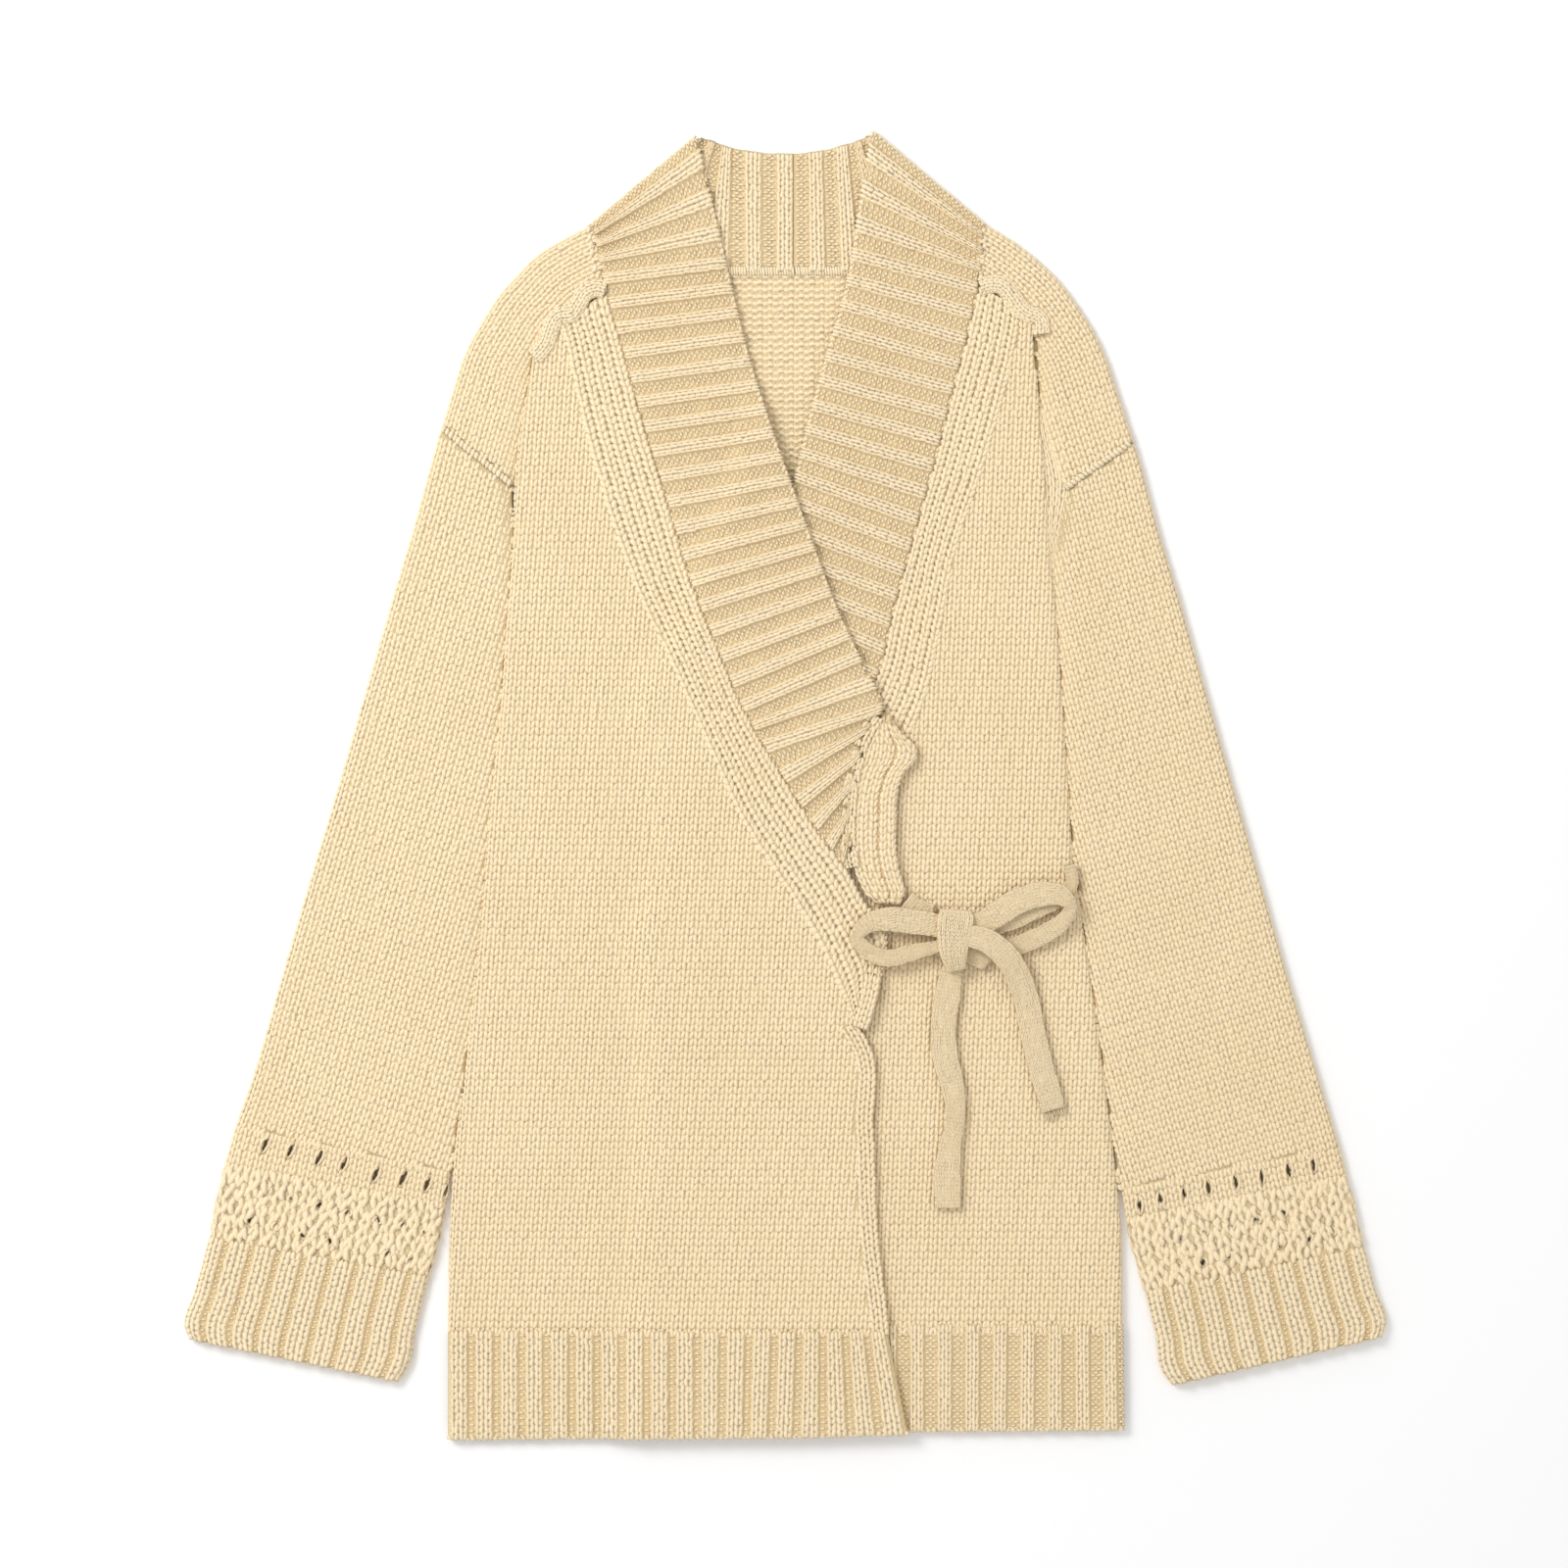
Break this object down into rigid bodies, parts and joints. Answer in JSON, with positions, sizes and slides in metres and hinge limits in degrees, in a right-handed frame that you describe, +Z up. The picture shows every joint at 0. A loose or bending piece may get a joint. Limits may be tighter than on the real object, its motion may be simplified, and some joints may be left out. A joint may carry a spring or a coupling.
{
  "type": "knitted kimono wrap cardigan",
  "caption": "Chunky knitted wrap jacket in kimono style, laid flat: wide rib shawl collar, crossed fronts, long sleeves with rib cuffs, rib hem and a knitted tie in a bow.",
  "frame": {"origin": "middle of the jacket's outline, on the surface that it lies on", "axes": "+X to the wearer's left, +Y towards the neck, +Z up from the surface, out of the front"},
  "size_m": [0.7674, 0.8354, 0.0212],
  "materials": {
    "body_knit": "matt stockinette in cream cotton yarn",
    "rib_knit": "matt broad rib in cream cotton yarn",
    "purl_knit": "matt purl side in cream cotton yarn",
    "openwork_knit": "matt openwork band in cream cotton yarn",
    "tie_knit": "matt close-knitted strap in cream cotton yarn"
  },
  "bodies": {
    "root": {"back_panel": "purl_knit", "saddle_right": "body_knit", "saddle_left": "body_knit", "front_right": "body_knit", "front_left": "body_knit", "band_right": "rib_knit", "band_left": "rib_knit", "collar_right": "rib_knit", "collar_left": "rib_knit", "collar_tab": "rib_knit", "hem_rib_right": "rib_knit", "hem_rib_left": "rib_knit", "hem_rib_back": "rib_knit", "sleeve_right_top": "body_knit", "sleeve_right_under": "body_knit", "openwork_right_top": "openwork_knit", "openwork_right_under": "openwork_knit", "cuff_right_top": "rib_knit", "cuff_right_under": "rib_knit", "sleeve_left_top": "body_knit", "sleeve_left_under": "body_knit", "openwork_left_top": "openwork_knit", "openwork_left_under": "openwork_knit", "cuff_left_top": "rib_knit", "cuff_left_under": "rib_knit", "bow_loop_right": "tie_knit", "bow_loop_left": "tie_knit", "tie_lead_right": "tie_knit", "tie_lead_left": "tie_knit", "bow_knot": "tie_knit", "bow_underfold": "tie_knit", "tie_tail_right": "tie_knit", "tie_tail_left": "tie_knit"}
  },
  "joints": []
}
